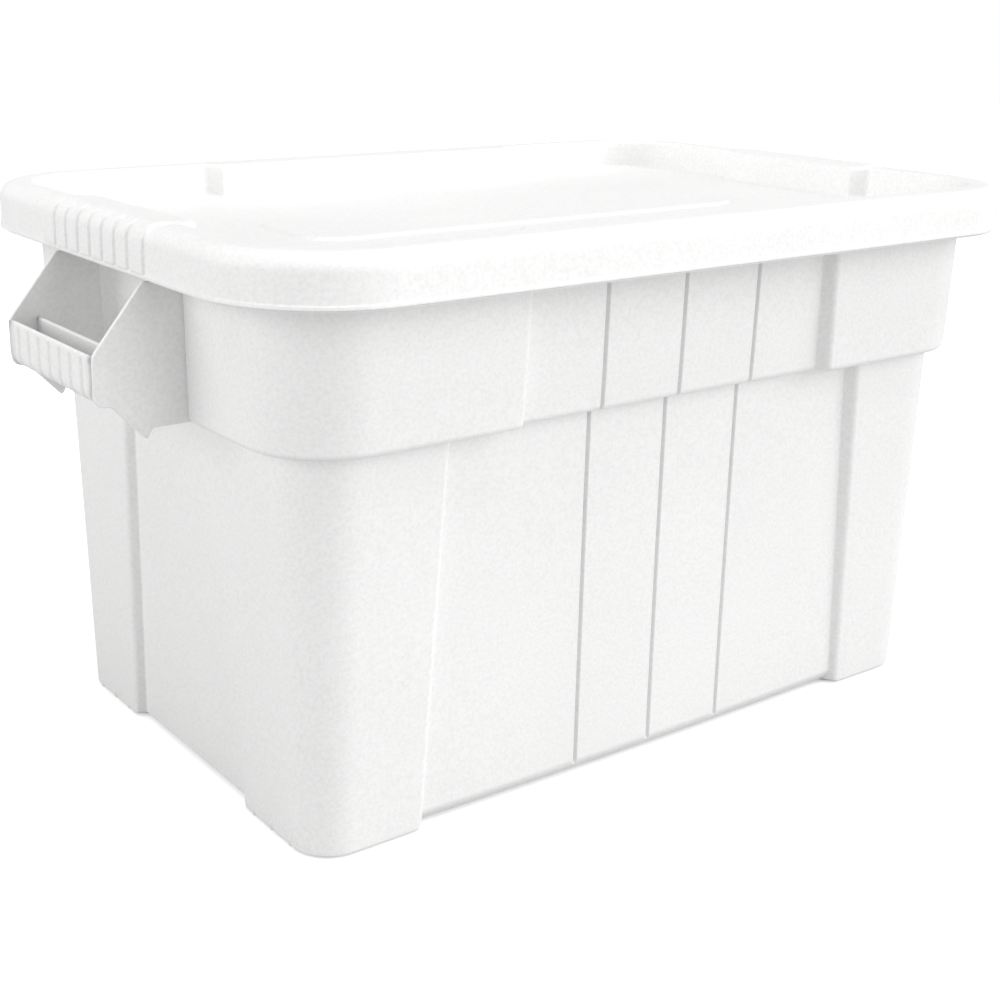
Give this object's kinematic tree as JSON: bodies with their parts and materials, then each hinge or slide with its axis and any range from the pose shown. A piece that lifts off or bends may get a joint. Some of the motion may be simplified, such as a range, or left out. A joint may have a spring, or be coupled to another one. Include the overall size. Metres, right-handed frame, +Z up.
{
  "type": "lidded stacking tote",
  "caption": "Heavy-duty white plastic stacking tote with an upper band, raised corner pads, moulded end handles with open grips and a lift-off lid with a recessed top.",
  "frame": {"origin": "middle of the underside, on the surface the feet rest on", "axes": "+X along the length towards the right handle, +Y across the width, +Z up"},
  "size_m": [0.708, 0.441, 0.384],
  "materials": {
    "tote_plastic": "fine moulded grain, satin",
    "lid_plastic": "fine moulded grain, satin"
  },
  "bodies": {
    "tote": {"tote_body": "tote_plastic", "base_ribs": "tote_plastic", "handle_left": "tote_plastic", "handle_right": "tote_plastic"},
    "lid": {"lid_panel": "lid_plastic"}
  },
  "joints": [
    {"name": "lid_lift", "type": "slide", "parent": "tote", "child": "lid", "axis": [0, 0, 1], "range_m": [0, 0.3]}
  ]
}
